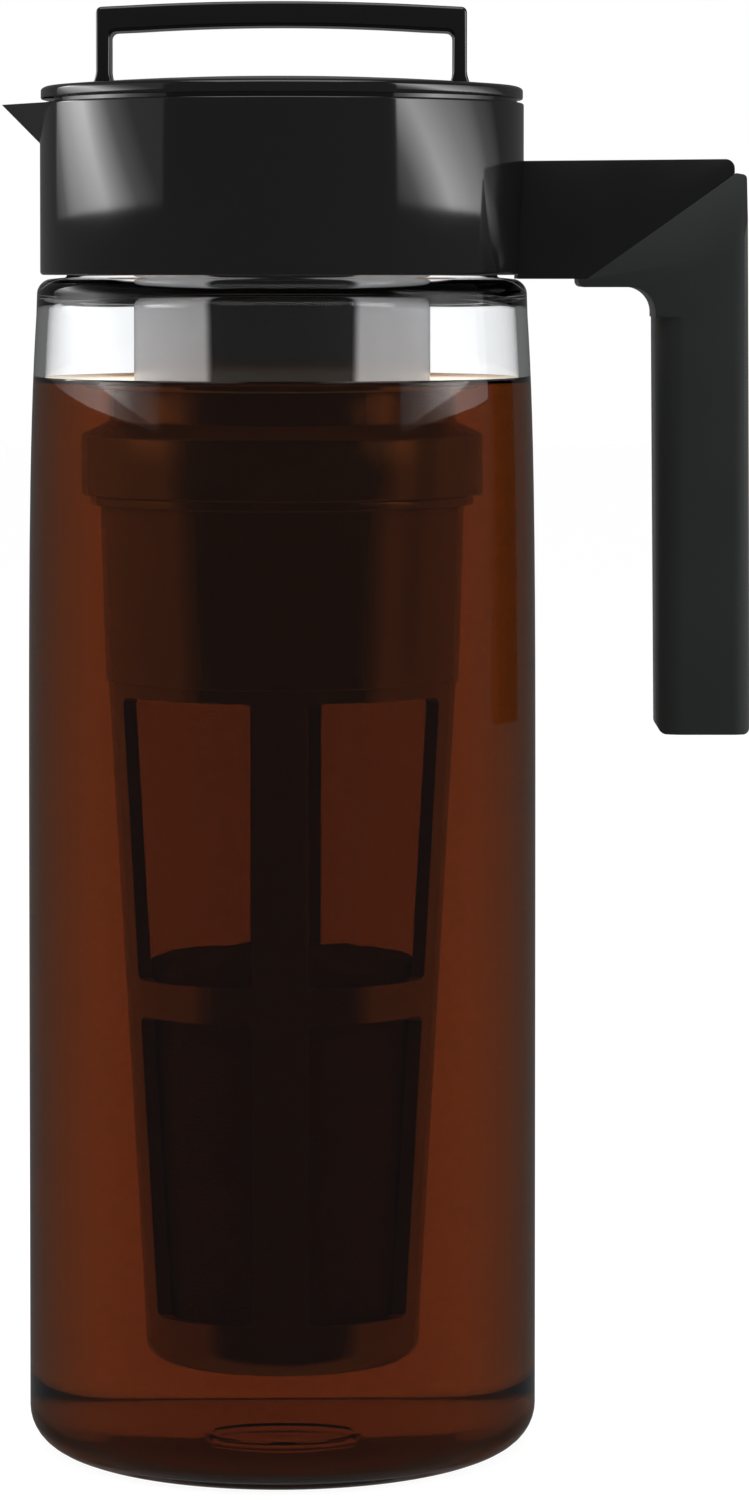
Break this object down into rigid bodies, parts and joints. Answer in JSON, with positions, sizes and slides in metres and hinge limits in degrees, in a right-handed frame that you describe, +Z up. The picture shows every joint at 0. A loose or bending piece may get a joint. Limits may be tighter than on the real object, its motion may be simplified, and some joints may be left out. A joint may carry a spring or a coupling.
{
  "type": "cold brew coffee maker",
  "caption": "Tall clear pitcher with a black collar, spout and side handle, a turning lid with a carry loop, and a hanging mesh infuser for cold brew coffee.",
  "frame": {"origin": "on the pitcher's axis, in the plane of the base ring that it stands on", "axes": "+Z up along the pitcher's axis, -X towards the spout, +X towards the handle, the picture looks along +Y"},
  "size_m": [0.155, 0.1056, 0.2999],
  "materials": {
    "clear_plastic": "clear gloss copolyester",
    "black_gloss": "gloss",
    "black_satin": "satin",
    "soft_grip": "matte soft touch",
    "silicone": "matte silicone",
    "filter_weave": "fine nylon weave",
    "screw_steel": "plain steel"
  },
  "bodies": {
    "pitcher": {"pitcher_body": "clear_plastic", "collar": "black_gloss", "lock_ring": "black_satin", "neck_gasket": "silicone", "handle_arm": "black_gloss", "handle_screws": "screw_steel", "handle_grip": "soft_grip"},
    "lid_ring": {"lid_seal": "silicone"},
    "lid": {"lid_cap": "black_gloss", "lid_plug": "black_satin", "skirt_seal": "silicone", "stem_tube": "black_gloss"},
    "infuser": {"infuser_gasket": "silicone", "infuser_neck": "black_satin", "infuser_sleeve": "black_satin", "infuser_frame": "black_satin", "filter_mesh_upper": "filter_weave", "filter_mesh_lower": "filter_weave", "infuser_base": "black_satin"}
  },
  "joints": [
    {"name": "lid_lift", "type": "slide", "parent": "pitcher", "child": "lid_ring", "axis": [0, 0, 1], "range_m": [0, 0.27]},
    {"name": "lid_turn", "type": "hinge", "parent": "lid_ring", "child": "lid", "pos_m": [0, 0, 0.275], "axis": [0, 0, 1], "range_deg": [-90, 0]},
    {"name": "infuser_turn", "type": "hinge", "parent": "lid", "child": "infuser", "pos_m": [0, 0, 0.225], "axis": [0, 0, 1], "range_deg": [0, 60]}
  ]
}
